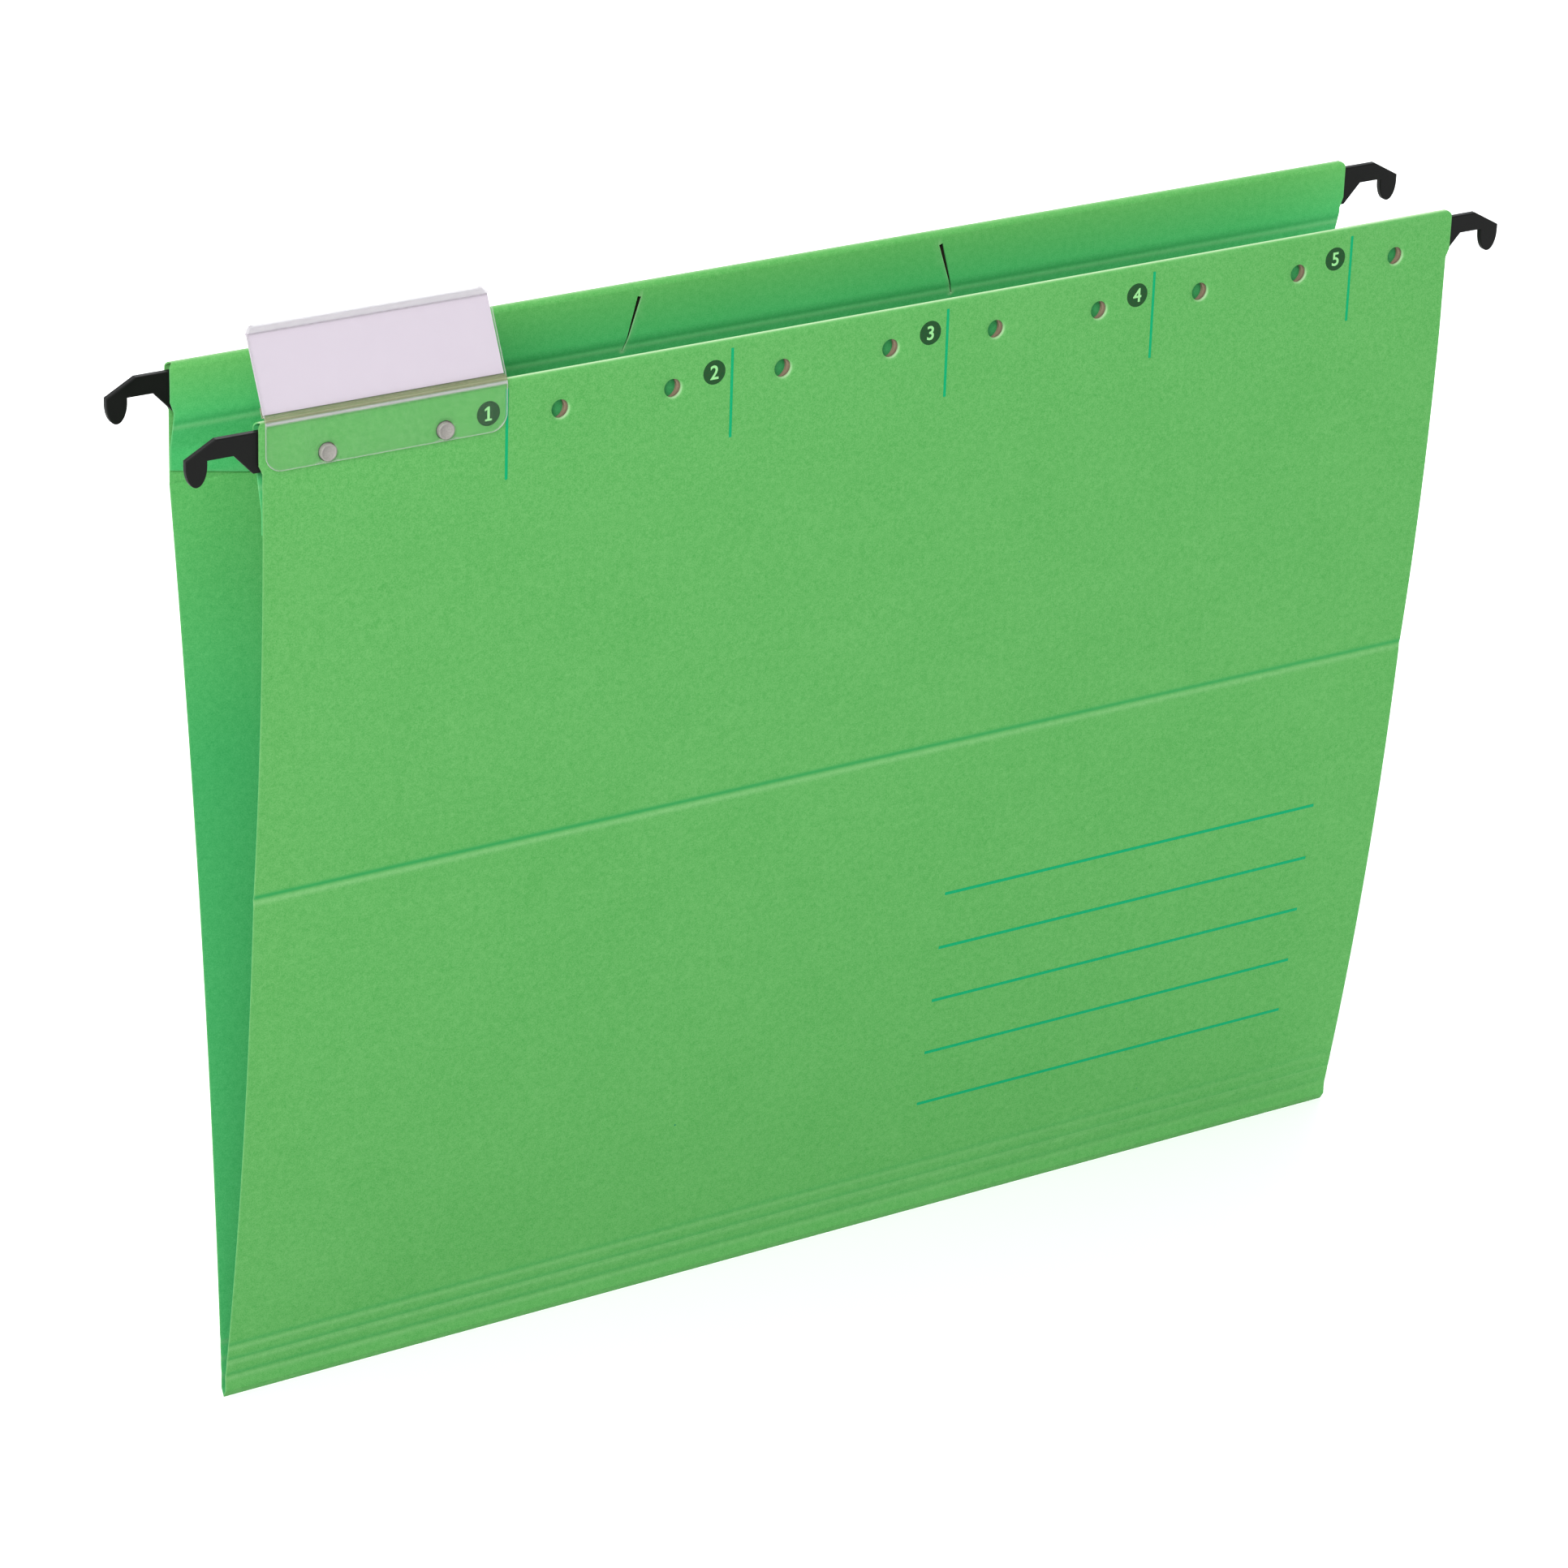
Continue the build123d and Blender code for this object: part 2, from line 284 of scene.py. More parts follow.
board, tree, shader = new_material("green_board")
place = object_place(tree)
fibres = noise(tree, place, fibre_size, detail=3.0, roughness=0.65)
mottle = noise(tree, place, mottle_size, detail=2.0)
clouds = noise(tree, place, cloud_size, detail=3.0)
tint = sum_of(tree, sum_of(tree, fibres, mottle, mottle_share), clouds, cloud_share)
shade = spread(tree, tint, *tint_range)
outside = mixed(tree, shade, board_deep, board_pale)
lit_upper_inside = mixed(tree, shade, lit_upper_inside_deep, lit_upper_inside_pale)
lit_bluer_inside = mixed(tree, shade, lit_bluer_inside_deep, lit_bluer_inside_pale)
lit_upper_flap = mixed(tree, shade, lit_upper_flap_deep, lit_upper_flap_pale)
lit_bluer_flap = mixed(tree, shade, lit_bluer_flap_deep, lit_bluer_flap_pale)
# Inside the pocket and on the flaps: painted light, brighter than the outside, and a bluer painted shade
# further down
painted_shade_depth = mark(tree, "painted_shade_depth")
pocket = mixed(tree, painted_shade_depth, lit_upper_inside, lit_bluer_inside)
turned = mixed(tree, painted_shade_depth, lit_upper_flap, lit_bluer_flap)
within = mixed(tree, mark(tree, "flap"), pocket, turned)
dyed_and_lit = mixed(tree, mark(tree, "inside"), outside, within)
specks = tree.nodes.new("ShaderNodeTexVoronoi")
specks.inputs["Scale"].default_value = 1 / speck_spacing
tree.links.new(place, specks.inputs["Vector"])
speck_reach = speck_size / speck_spacing
is_speck = spread(tree, specks.outputs["Distance"], speck_reach * speck_blur, speck_reach)
specked = mixed(tree, is_speck, dyed_and_lit, board_speck)
# Score lines darken just above the groove, as crushed fibre and painted shade
pressed_and_shaded = mixed(tree, mark(tree, "pressed_and_shaded"), specked, board_pressed_and_shaded)
# Pale marks: scuffed cut edges, and painted highlights on holes, slits, hem folds and score lines
colour_between(tree, shader, mark(tree, "second_tone"), pressed_and_shaded, board_worn_and_highlit)
shader.inputs["Roughness"].default_value = 0.85
shader.inputs["Specular IOR Level"].default_value = 0.12
grain_bump(tree, shader, fibres, fibre_relief, 0.3)

# Covers
# The sheet is cut flat, with wider hems, punched with a row of holes, scored and bent to its section.
# Flat places on it are u, across from the middle, and v, along from the middle of the bottom fold.
hem_end_depth = 0.0095
hem_end_slant = 0.002
hem_corner = 0.0013
flap_corner_run = 0.019
flap_corner_rise = 0.0035
board_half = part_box("front_cover_lower")[1].x
hem_half = flap_high.x
hem_end = hem_top - hem_end_depth

# Spacing of the mesh: wide on the panels, close at scores, bends and ends
row_step = 0.004
column_step = 0.006
close_step = 0.0002
hem_rows = 30
fold_rows = 5
end_band = 0.004
end_step = 0.0005
end_shift = 0.0002
middle_inset = 0.005
edge_room = 0.00025
opening_room = 0.0007
merge_distance = 1e-9
sharp_angle = radians(50)

# Pressed score lines, each with a dark mark just above it, partly crushed fibre and partly painted shade,
# and a pale painted highlight just below
score_reach = 0.0024
first_score_rise = 0.0007
score_heights = (fold_top + first_score_rise, 0.0103, 0.0145)
score_depth = 0.0001
score_width = 0.0007
score_marks = (0.4, 0.11)
score_fade = 0.75
crease_depth = 0.0002
crease_width = 0.0008
crease_marks = (1.0, 0.15)
crease_fade = 0.2
flap_score_drop = 0.0145
flap_score_depth = 0.00006
flap_score_width = 0.0005
flap_score_marks = (0.3, 0.16)
mark_offset = 0.0007
mark_width = 0.00065
no_marks = (0.0, 0.0)
no_fade = 0.0

# Where the painted light of the inside starts, and how soon its painted shade is at its deepest
inside_start = 0.002
depth_at_flap = 0.3
deep_reach = 0.09

Score = namedtuple("Score", "place depth width fade dark pale")


def bell(distance, width):
    """Soft hump that is 1 at its middle and gone at about twice its width."""
    return np.exp(-((distance / width) ** 2))


def pressed_share(score, u):
    """How hard a score was pushed in across the sheet: it may fade to the right."""
    return 1 - score.fade * np.clip((u + board_half) / (2 * board_half), 0, 1)


def scored(scores):
    """Relief of pressed score lines."""

    def relief(u, v):
        lift = np.zeros_like(v)
        for score in scores:
            lift = lift - score.depth * pressed_share(score, u) * bell(v - score.place, score.width)
        return lift

    return relief


def board_marks(section, scores, wear_and_highlights):
    """Marks of a cover: pale scuffing and painted highlights, dark lines of crushed fibre and painted shade,
    inside the pocket, on the flap, and how far down the inside the painted shade goes.
    """

    def marks(u, v):
        worn_and_highlit, pressed_and_shaded = wear_and_highlights(u, v), np.zeros_like(v)
        for score in scores:
            share = pressed_share(score, u)
            down = np.sign(score.place - section.top) * mark_offset
            worn_and_highlit = worn_and_highlit + score.pale * share * bell(v - score.place - down, mark_width)
            pressed_and_shaded = pressed_and_shaded + score.dark * share * bell(v - score.place + down, mark_width)
        worn_and_highlit = np.clip(worn_and_highlit, 0, 1)
        # The flap and the inside get painted light; their painted shade grows down the flap and down the
        # cover
        turned_in = np.clip((v - section.top) / inside_start, 0, 1)
        flap = np.where(v > section.top, 1.0, 0.0)
        flap_depth = np.clip((v - section.top) / flap_score_drop, 0, 1)
        cover_depth = np.clip(depth_at_flap + (flap_edge - section.height(v)) / deep_reach, 0, 1)
        return {
            "second_tone": (worn_and_highlit, worn_and_highlit),
            "pressed_and_shaded": (pressed_and_shaded, 0 * pressed_and_shaded),
            "inside": (turned_in, np.ones_like(v)),
            "flap": (flap, flap),
            "painted_shade_depth": (flap_depth, np.maximum(flap, cover_depth)),
        }

    return marks


def blank_half(section, v):
    """Half width of the flat blank at the length v."""
    up = section.height(v)
    half = np.interp(up, [hem_end - hem_end_slant, hem_end], [board_half, hem_half])
    over = np.clip(up - (hem_top - hem_corner), 0, hem_corner)
    half = half - hem_corner + np.sqrt(hem_corner**2 - over**2)
    rise = np.clip((up - flap_edge) / flap_corner_rise, 0, 1)
    return half - np.where(v > section.top, flap_corner_run * (1 - rise), 0)


def blank_rows(section, first, last, scores, corners):
    """Lengths at which the sheet gets a row of points: close together at scores and bends."""
    rows = [np.arange(first, last, row_step), [first, last]]
    close = np.arange(-score_reach, score_reach, close_step)
    rows += [score.place + close for score in scores]
    rows += [[section.rising(hem_end - hem_end_slant), section.rising(hem_end)]]
    hem_bend = section.rising(hem_top - hem_radius), section.falling(hem_top - hem_radius)
    rows += [np.linspace(*hem_bend, hem_rows)]
    rows += [corner + close / 2 for corner in corners]
    rows = np.sort(np.concatenate(rows))
    rows = rows[(rows >= first) & (rows <= last)]
    rows = rows[np.r_[True, np.diff(rows) > close_step / 3]]
    rows[-1] = last
    return rows


def flap_bends(section):
    """Lengths at which the sheet bends at its flap and along the flap's edge."""
    bends = [section.falling(height) for height in (pocket_floor + pocket_taper, pocket_floor)]
    return bends + [section.rising(flap_edge), section.falling(flap_edge + flap_corner_rise)]


def fold_bends(section):
    """Lengths along the round bend at the bottom."""
    return list(np.linspace(0, section.rising(fold_radius), fold_rows))


def ring(centre, radius, count=40):
    """Flat points on a circle."""
    turn = np.linspace(0, 2 * pi, count, endpoint=False)
    return np.array(centre) + radius * np.stack([np.cos(turn), np.sin(turn)], axis=-1)


def inside(loop, points):
    """Which flat points lie inside a closed loop."""
    x, y = points[:, 0, None], points[:, 1, None]
    ax, ay = loop[:, 0], loop[:, 1]
    bx, by = np.roll(ax, -1), np.roll(ay, -1)
    crosses = (ay > y) != (by > y)
    span = np.where(by == ay, 1.0, by - ay)
    return (crosses & (x < ax + (y - ay) / span * (bx - ax))).sum(axis=1) % 2 == 1


def new_object(name, data):
    """Object in the scene that shows the given mesh, light or camera."""
    made = bpy.data.objects.new(name, data)
    bpy.context.scene.collection.objects.link(made)
    return made


def new_mesh(name, corners, faces, smooth=False):
    """Mesh from its corners and faces; a smooth one keeps its sharp edges."""
    mesh = bpy.data.meshes.new(name)
    mesh.from_pydata([tuple(corner) for corner in corners], [], faces)
    if smooth:
        mesh.shade_smooth()
        mesh.set_sharp_from_angle(angle=sharp_angle)
    return mesh


def bent_blank(name, section, side, half_width, rows, columns, openings, near, upper, lower, marks, room):
    """Cuts a flat blank with its openings, bends it to the section and gives it its thickness.

    half_width(v) is its outline, openings are closed loops of flat points, near are extra points round
    them, upper(u, v) and lower(u, v) are the heights of its two faces above the section, marks(u, v) the
    named values of both faces for its material, and room is how far its inner points keep from its edge.
    """
    edge = np.stack([half_width(rows), rows], axis=-1)
    loops = [np.vstack([edge, (edge * (-1, 1))[::-1]]), *openings]
    grid = np.stack(np.meshgrid(columns, rows[1:-1]), axis=-1).reshape(-1, 2)
    grid = grid[np.abs(grid[:, 0]) < half_width(grid[:, 1]) - room]
    for points in (*openings, near):
        if len(points):
            gap = np.min(np.hypot(*(grid[:, None] - points[None]).transpose(2, 0, 1)), axis=1)
            grid = grid[gap > opening_room]
    for loop in openings:
        grid = grid[~inside(loop, grid)]
    points = np.vstack([*loops, near, grid])
    edges, start = [], 0
    for loop in loops:
        count = len(loop)
        edges += [(start + k, start + (k + 1) % count) for k in range(count)]
        start += count
    flat, _, faces, *_ = delaunay_2d_cdt([Vector(p) for p in points], edges, [], 0, merge_distance)
    flat = np.array([tuple(p) for p in flat])
    faces = np.array([tuple(face) for face in faces if len(face) == 3])
    middle = flat[faces].mean(axis=1)
    kept = inside(loops[0], middle)
    for loop in openings:
        kept &= ~inside(loop, middle)
    used, faces = np.unique(faces[kept], return_inverse=True)
    flat, faces = flat[used], faces.reshape(-1, 3)

    u, v = flat.T
    count = len(flat)
    corners = np.vstack([section.place(u, v, upper(u, v), side), section.place(u, v, lower(u, v), side)])
    sides = np.vstack([faces[:, [0, 1]], faces[:, [1, 2]], faces[:, [2, 0]]])
    pairs = {tuple(pair) for pair in sides}
    rim = [(b, a, a + count, b + count) for a, b in pairs if (b, a) not in pairs]
    outer = [tuple(face) for face in faces]
    inner = [(c + count, b + count, a + count) for a, b, c in faces]
    all_faces = outer + inner + rim
    if side > 0:
        all_faces = [face[::-1] for face in all_faces]
    mesh = new_mesh(name, corners, all_faces, smooth=True)
    for mark_name, values in marks(u, v).items():
        attribute = mesh.attributes.new(mark_name, "FLOAT", "POINT")
        attribute.data.foreach_set("value", np.concatenate(values))
    return new_object(name, mesh)


no_points = np.zeros((0, 2))
end_columns = np.arange(hem_half - end_band, hem_half, end_step) + end_shift
middle_columns = np.arange(-hem_half + middle_inset, hem_half - middle_inset, column_step)
columns = np.concatenate([-end_columns[::-1], middle_columns, end_columns])
flap_score = (flap_score_depth, flap_score_width, no_fade, *flap_score_marks)

# Front cover: a row of punched holes, each with the soft rim that the punch presses round it
hole_radius = 0.00215
hole_margin = 0.0154
hole_count = 11
hole_drop = 0.0089
rim_depth = 0.00022
rim_width = 0.0005
rim_rings = (0.0002, 0.0005, 0.001)
edge_wear = 0.08
# The pale marks at the lower right of each hole and along the hem's fold are painted highlights
hole_highlight = 0.7
hole_highlight_width = 0.0003
front_hem_highlight = 0.9
hem_highlight_width = 0.0005
hole_v = front_section.rising(hem_top - hole_drop)
hole_u = np.linspace(hole_margin - board_half, board_half - hole_margin, hole_count)
hole_pitch = hole_u[1] - hole_u[0]

front_scores = [
    Score(front_section.rising(height), score_depth, score_width, score_fade, *score_marks)
    for height in score_heights
]
front_crease = front_section.rising(crease_height)
front_scores.append(Score(front_crease, crease_depth, crease_width, crease_fade, *crease_marks))
front_scores.append(Score(front_section.falling(hem_top - flap_score_drop), *flap_score))
front_relief = scored(front_scores)


def front_half(v):
    """Outline of the front half of the blank."""
    return blank_half(front_section, v)


def front_face(u, v):
    """Outer face of the front cover, with its scores and the rims of its holes."""
    lift = front_relief(u, v)
    for centre in hole_u:
        lift = lift - rim_depth * bell(np.hypot(u - centre, v - hole_v) - hole_radius, rim_width)
    return lift


def front_inner_face(u, v):
    """Inner face of the front cover."""
    return front_face(u, v) - board_thickness


def front_rubbed(u, v):
    """Where the front cover is pale: scuffed cut edges, and painted highlights at the lower right of each
    hole and along the fold of the hem.
    """
    worn_and_highlit = edge_wear * np.clip(1 - (front_half(v) - np.abs(u)) / edge_room, 0, 1)
    for centre in hole_u:
        across, up = u - centre, v - hole_v
        lower_right = np.clip((across - up) / (sqrt(2) * hole_radius), 0, 1)
        rim = bell(np.hypot(across, up) - hole_radius, hole_highlight_width)
        worn_and_highlit = np.maximum(worn_and_highlit, hole_highlight * lower_right * rim)
    return worn_and_highlit + front_hem_highlight * bell(v - front_section.top, hem_highlight_width)


front_marks = board_marks(front_section, front_scores, front_rubbed)
seam = front_scores[1].place
front_cover = bent_blank(
    "front_cover",
    front_section,
    -1,
    front_half,
    blank_rows(front_section, seam, front_section.end, front_scores, flap_bends(front_section)),
    columns,
    [ring((u, hole_v), hole_radius) for u in hole_u],
    np.vstack([ring((u, hole_v), hole_radius + grow) for u in hole_u for grow in rim_rings]),
    front_face,
    front_inner_face,
    front_marks,
    edge_room,
)
front_bottom = bent_blank(
    "front_bottom",
    front_section,
    -1,
    front_half,
    blank_rows(front_section, 0, seam, front_scores, fold_bends(front_section)),
    columns,
    [],
    no_points,
    front_face,
    front_inner_face,
    front_marks,
    edge_room,
)

# Back cover: plain, with the same scores, a ridge where the flap ends and two slanting slits in its flap
slit_spread = 0.086
slit_length = 0.0135
slit_top_width = 0.0011
slit_foot_width = 0.0003
slit_tilt = radians(17)
slit_drop = 0.0096
slit_points = 40
slit_rim = 0.00025
slit_band = 0.0045
# The pale marks on one side and at the foot of each slit and along the hem's fold are painted highlights
slit_highlight_reach = 0.0003
slit_side_highlight = 0.35
side_highlight_width = 0.0002
slit_foot_highlight = 0.5
foot_highlight_width = 0.0006
back_hem_highlight = 0.4
ridge_height = 0.00008
ridge_width = 0.0004

back_scores = [
    Score(back_section.rising(height), score_depth, score_width, no_fade, *score_marks)
    for height in score_heights
]
back_scores.append(Score(back_section.falling(hem_top - flap_score_drop), *flap_score))
back_scores.append(Score(back_section.rising(flap_edge), -ridge_height, ridge_width, no_fade, *no_marks))
back_relief = scored(back_scores)


def back_half(v):
    """Outline of the back half of the blank."""
    return blank_half(back_section, v)


def back_inner_face(u, v):
    """Inner face of the back cover."""
    return back_relief(u, v) - board_thickness


def slit_half(along):
    """Half width of a slit, by the distance up along it from its middle."""
    ends = [-slit_length / 2, slit_length / 2]
    return np.interp(along, ends, [slit_foot_width / 2, slit_top_width / 2])


def slit_loop(side, grow=0.0):
    """Outline of one slit on the flat blank, with its long edges divided so that they follow the bends."""
    along = np.linspace(-slit_length / 2, slit_length / 2, slit_points)
    across = slit_half(along) + grow
    local = np.vstack([np.stack([across, along], -1), np.stack([-across[::-1], along[::-1]], -1)])
    turn = side * slit_tilt
    x = side * slit_spread / 2 + local[:, 0] * cos(turn) - local[:, 1] * sin(turn)
    z = hem_top - slit_drop + local[:, 0] * sin(turn) + local[:, 1] * cos(turn)
    return np.stack([x, back_section.falling(z)], axis=-1)


def back_rubbed(u, v):
    """Where the back cover is pale: scuffed cut edges, and painted highlights on one side and at the foot of
    each slit and along the fold of the hem.
    """
    worn_and_highlit = edge_wear * np.clip(1 - (back_half(v) - np.abs(u)) / edge_room, 0, 1)
    for side in (-1, 1):
        turn = side * slit_tilt
        x, z = u - side * slit_spread / 2, back_section.height(v) - hem_top + slit_drop
        across, along = x * cos(turn) + z * sin(turn), z * cos(turn) - x * sin(turn)
        beside = slit_side_highlight * bell(-side * across - slit_half(along), side_highlight_width)
        foot = slit_foot_highlight * bell(np.hypot(across, along + slit_length / 2), foot_highlight_width)
        on_slit = (v > back_section.top) & (np.abs(along) < slit_length / 2 + slit_highlight_reach)
        worn_and_highlit = np.maximum(worn_and_highlit, np.where(on_slit, np.maximum(beside, foot), 0))
    return worn_and_highlit + back_hem_highlight * bell(v - back_section.top, hem_highlight_width)


slit_columns = np.arange(-slit_band, slit_band, end_step)
back_columns = np.concatenate([columns, slit_spread / 2 + slit_columns, -slit_spread / 2 + slit_columns])
back_bends = flap_bends(back_section) + fold_bends(back_section)
back_cover = bent_blank(
    "back_cover_board",
    back_section,
    1,
    back_half,
    blank_rows(back_section, 0, back_section.end, back_scores, back_bends),
    np.sort(back_columns),
    [slit_loop(-1), slit_loop(1)],
    np.vstack([slit_loop(-1, slit_rim), slit_loop(1, slit_rim)]),
    back_relief,
    back_inner_face,
    board_marks(back_section, back_scores, back_rubbed),
    edge_room,
)

for piece in (front_cover, front_bottom, back_cover):
    piece.data.materials.append(board)
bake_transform(front_cover)
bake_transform(front_bottom)
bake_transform(back_cover)
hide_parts("front_cover_lower", "front_cover_upper", "front_hem_flap")
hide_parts("bottom_fold")
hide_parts("back_cover", "back_hem_flap")

# Print on the front cover
# Teal ink for five lines to write on and a short line at each of five places for a tab, dark ink for the
# numbered discs. The ink lies on the board as a very thin film, and the numbers show pale on the discs.
ink_film = 0.00005
ink_sink = 0.00003
number_top = 2 * ink_film
ink_thinning = (0.35, 0.85)
teal_full = (0.001, 0.235, 0.092)
teal_thin = (0.006, 0.270, 0.100)
dark_full = (0.005, 0.050, 0.016)
dark_thin = (0.026, 0.044, 0.013)
number_full = (0.215, 0.480, 0.190)
number_thin = (0.180, 0.440, 0.170)
place_count = 5
place_pitch = 2 * hole_pitch
disc_radius = 0.00285
disc_drop = 0.0069
disc_from_hole = 0.0106
disc_points = 48
line_from_disc = 0.0046
line_width = 0.0007
line_top_drop = 0.0019
line_length = 0.0211
writing_count = 5
writing_u = (0.028, 0.138)
writing_top = 0.093
writing_pitch = 0.015
writing_width = 0.0008
number_height = 0.0033
letter_scale = 1.4
letter_weight = 0.02


def printed(name, mesh, body, material):
    """Makes a mesh a printed piece of the front cover."""
    mesh.materials.clear()
    mesh.materials.append(material)
    piece = new_object(name, mesh)
    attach(piece, body)


def ink_patches(name, outlines, body, material, film=ink_film):
    """Thin printed patches on the front cover from flat outlines."""
    corners, faces = [], []
    for outline in outlines:
        outline = np.asarray(outline)
        count, start = len(outline), len(corners)
        u, v = outline.T
        base = front_face(u, v)
        corners += [*front_section.place(u, v, base + film, -1)]
        corners += [*front_section.place(u, v, base - ink_sink, -1)]
        top = range(start, start + count)
        faces += [tuple(top), tuple(k + count for k in reversed(top))]
        faces += [
            (start + (k + 1) % count, start + k, start + k + count, start + (k + 1) % count + count)
            for k in range(count)
        ]
    printed(name, new_mesh(name, corners, faces), body, material)


def bar(u_low, u_high, v_low, v_high):
    """Flat outline of a printed bar."""
    return [(u_low, v_low), (u_high, v_low), (u_high, v_high), (u_low, v_high)]


def ink_material(name, full, thin):
    """Dull ink on board: nearly even, a little thinner where the fibres stand up."""
    material, tree, shader = new_material(name)
    second_tone = noise(tree, object_place(tree), fibre_size, detail=2.0)
    colour_between(tree, shader, spread(tree, second_tone, *ink_thinning), full, thin)
    shader.inputs["Roughness"].default_value = 0.7
    shader.inputs["Specular IOR Level"].default_value = 0.08
    return material


def lettered(number):
    """Mesh of a number in the plain built-in lettering, flat and as thick as a film of ink."""
    text = bpy.data.curves.new("number", "FONT")
    text.body = str(number)
    text.size = number_height * letter_scale
    text.offset = number_height * letter_weight
    text.align_x = "CENTER"
    text.align_y = "CENTER"
    text.extrude = ink_film / 2
    drawn = new_object("number", text)
    bpy.context.view_layer.update()
    mesh = bpy.data.meshes.new_from_object(drawn.evaluated_get(bpy.context.evaluated_depsgraph_get()))
    bpy.data.objects.remove(drawn)
    bpy.data.curves.remove(text)
    return mesh


line_ink = ink_material("line_ink", teal_full, teal_thin)
disc_ink = ink_material("disc_ink", dark_full, dark_thin)
pale_green = ink_material("number_green", number_full, number_thin)

places = [place_pitch * k for k in range(place_count)]
disc_u = hole_u[1] + disc_from_hole
disc_v = front_section.rising(hem_top - disc_drop)
line_u = disc_u + line_from_disc
line_v = front_section.rising(hem_top - line_top_drop)
line_left, line_right = line_u - line_width / 2, line_u + line_width / 2
ink_patches(
    "tab_place_lines",
    [bar(line_left + p, line_right + p, line_v - line_length, line_v) for p in places],
    "front_upper",
    line_ink,
)
discs = [ring((disc_u + p, disc_v), disc_radius, disc_points) for p in places]
ink_patches("number_discs", discs, "front_upper", disc_ink)
writing_v = [front_section.rising(writing_top - writing_pitch * k) for k in range(writing_count)]
ink_patches(
    "writing_lines",
    [bar(*writing_u, v - writing_width / 2, v + writing_width / 2) for v in writing_v],
    "front_lower",
    line_ink,
)

# The first number is drawn by its corners, with a flag and a foot; the others are in the built-in lettering
number_one = [
    (-0.25, 0), (0.25, 0), (0.25, 0.13), (0.09, 0.13), (0.09, 1), (-0.05, 1),
    (-0.28, 0.84), (-0.28, 0.70), (-0.09, 0.80), (-0.09, 0.13), (-0.25, 0.13),
]
ink_patches(
    "number_1",
    [[(disc_u + x * number_height, disc_v + (y - 0.5) * number_height) for x, y in number_one]],
    "front_upper",
    pale_green,
    number_top,
)
for number, p in enumerate(places[1:], start=2):
    mesh = lettered(number)
    local = np.array([corner.co for corner in mesh.vertices])
    local -= (local.min(axis=0) + local.max(axis=0)) / 2
    lift = number_top - ink_film / 2 + local[:, 2]
    on_disc = front_section.place(disc_u + p + local[:, 0], disc_v + local[:, 1], lift, -1)
    mesh.vertices.foreach_set("co", on_disc.ravel())
    printed(f"number_{number}", mesh, "front_upper", pale_green)

# Hanger strips and hem glue
# Each hem holds a flat lacquered steel strip with holes behind the cover's, brown in front. The one behind
# is seen only in the slits, so it is painted nearly black as painted shade. A line of pale glue, hidden
# inside the hem, holds the flap down under it.
front_lacquer_dark = (0.150, 0.105, 0.070)
front_lacquer_light = (0.230, 0.170, 0.120)
# Painted shade: the back strip is shown nearly black, as it is seen only deep in the slits
back_shaded_lacquer_dark = (0.016, 0.014, 0.010)
back_shaded_lacquer_light = (0.030, 0.025, 0.018)
glue_dark = (0.60, 0.52, 0.34)
glue_light = (0.78, 0.72, 0.52)
lacquer_cloud = 0.004
lacquer_gloss_range = (0.0, 2.2)
lacquer_grain = 0.0008
lacquer_relief = 0.00002
glue_cloud = 0.003


def strip_lacquer(name, dark, light):
    """Lacquer on steel, clouded between two shades."""
    material, tree, shader = new_material(name)
    place = object_place(tree)
    streaks = noise(tree, place, lacquer_cloud, detail=4.0)
    colour_between(tree, shader, streaks, dark, light)
    tree.links.new(spread(tree, streaks, *lacquer_gloss_range), shader.inputs["Roughness"])
    shader.inputs["Specular IOR Level"].default_value = 0.2
    grain_bump(tree, shader, noise(tree, place, lacquer_grain), lacquer_relief, 0.3)
    return material


def refinish(node, material):
    """Gives a CAD node its material."""
    slots = frame["nodes"][node].data.materials
    slots.clear()
    slots.append(material)


refinish("front_hanger_strip", strip_lacquer("front_strip_lacquer", front_lacquer_dark, front_lacquer_light))
refinish("back_hanger_strip", strip_lacquer("back_strip_painted_shade", back_shaded_lacquer_dark, back_shaded_lacquer_light))
glue, tree, shader = new_material("hem_glue")
clouds = noise(tree, object_place(tree), glue_cloud, detail=3.0)
colour_between(tree, shader, clouds, glue_dark, glue_light)
shader.inputs["Roughness"].default_value = 0.45
for node in ("front_hem_glue", "back_hem_glue"):
    refinish(node, glue)

# Hooks
# Black plastic mouldings on the ends of the strips, satin with a fine grain from the mould.
# Each has a sloping nose that drops over the rail, and a gusset that runs back into the hem.
hook_dark = (0.003, 0.003, 0.003)
hook_light = (0.006, 0.006, 0.0056)
mould_grain = 0.0006
mould_relief = 0.00002
handling_size = 0.006
handling_range = (-0.9, 1.9)

hook_black, tree, shader = new_material("hook_black")
place = object_place(tree)
handling = noise(tree, place, handling_size, detail=3.0)
colour_between(tree, shader, handling, hook_dark, hook_light)
tree.links.new(spread(tree, handling, *handling_range), shader.inputs["Roughness"])
shader.inputs["Specular IOR Level"].default_value = 0.11
grain_bump(tree, shader, noise(tree, place, mould_grain, detail=3.0), mould_relief, 0.35)
for end in ("front_left", "front_right", "back_left", "back_right"):
    refinish(f"{end}_hook", hook_black)

